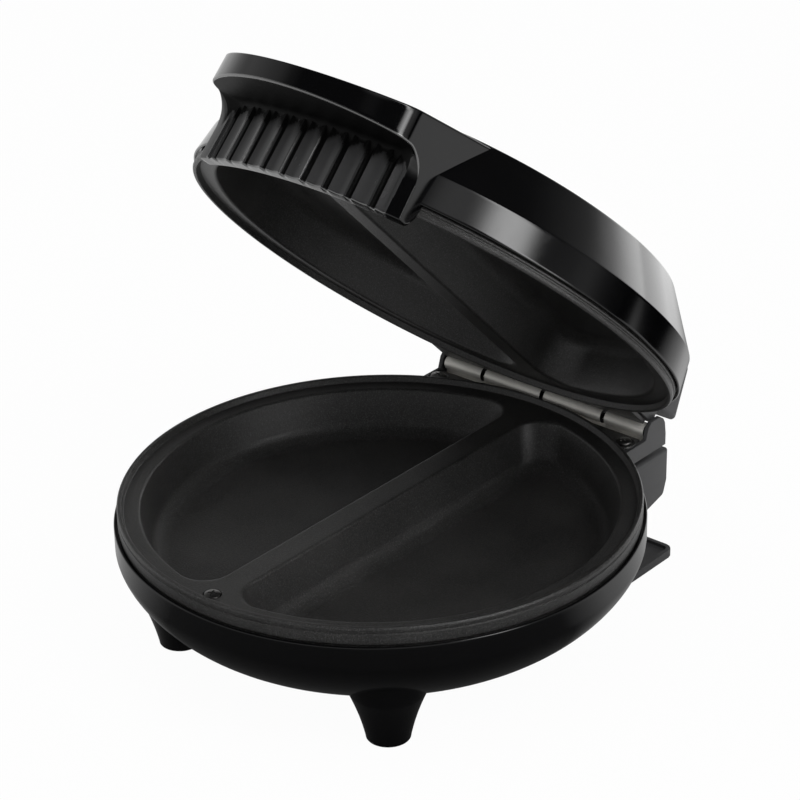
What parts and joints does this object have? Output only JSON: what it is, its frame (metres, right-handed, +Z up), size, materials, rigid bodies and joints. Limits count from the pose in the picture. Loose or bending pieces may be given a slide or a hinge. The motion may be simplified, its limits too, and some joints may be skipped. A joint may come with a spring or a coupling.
{
  "type": "electric omelette maker",
  "caption": "Round countertop omelette maker: a bowl base on feet and a rear-hinged domed lid with a moulded handle, both holding half-moon cooking plates.",
  "frame": {"origin": "middle of the bounding box at the height of the surface that the pads rest on, with the lid open at 45 degrees", "axes": "+Z up, -Y towards the handle and the user, +Y towards the hinge, +X to the user's right"},
  "size_m": [0.22, 0.2492, 0.264],
  "materials": {
    "gloss_black": "glossy black moulded plastic",
    "satin_black": "satin black moulded plastic",
    "nonstick_coating": "cast plate with a dark non-stick coating",
    "hinge_steel": "brushed steel strip",
    "screw_steel": "plated steel",
    "shield_sheet": "thin bright sheet",
    "heater_sheath": "heat-darkened metal sheath",
    "rubber": "soft black rubber",
    "ceramic": "pale heat-proof moulding",
    "red_lens": "clear red lens",
    "green_lens": "clear green lens",
    "circuit_board": "lacquered board"
  },
  "bodies": {
    "base": {"base_casing": "gloss_black", "hinge_deck": "satin_black", "lower_plate": "nonstick_coating", "lower_element": "heater_sheath", "lower_heat_shield": "shield_sheet", "thermostat": "screw_steel", "thermal_fuse": "ceramic", "terminal_block": "ceramic", "cord_inlet": "rubber", "rear_foot": "satin_black", "hinge_leaf_lower": "hinge_steel", "hinge_pin": "screw_steel", "front_pad_left": "rubber", "front_pad_right": "rubber", "rear_pad_left": "rubber", "rear_pad_right": "rubber", "lower_plate_screw_front": "screw_steel", "lower_plate_screw_left": "screw_steel", "lower_plate_screw_right": "screw_steel", "lower_shield_screw_front": "screw_steel", "lower_shield_screw_rear": "screw_steel", "foot_screw_left": "screw_steel", "foot_screw_right": "screw_steel"},
    "lid": {"lid_casing": "gloss_black", "upper_plate": "nonstick_coating", "upper_element": "heater_sheath", "upper_heat_shield": "shield_sheet", "hinge_leaf_upper": "hinge_steel", "power_lens": "red_lens", "ready_lens": "green_lens", "lamp_board": "circuit_board", "upper_plate_screw_front": "screw_steel", "upper_plate_screw_left": "screw_steel", "upper_plate_screw_right": "screw_steel", "upper_shield_screw_front": "screw_steel", "upper_shield_screw_rear": "screw_steel"}
  },
  "joints": [
    {"name": "lid_hinge", "type": "hinge", "parent": "base", "child": "lid", "pos_m": [0, 0.09767, 0.0637], "axis": [-1, 0, 0], "range_deg": [-45, 40]}
  ]
}
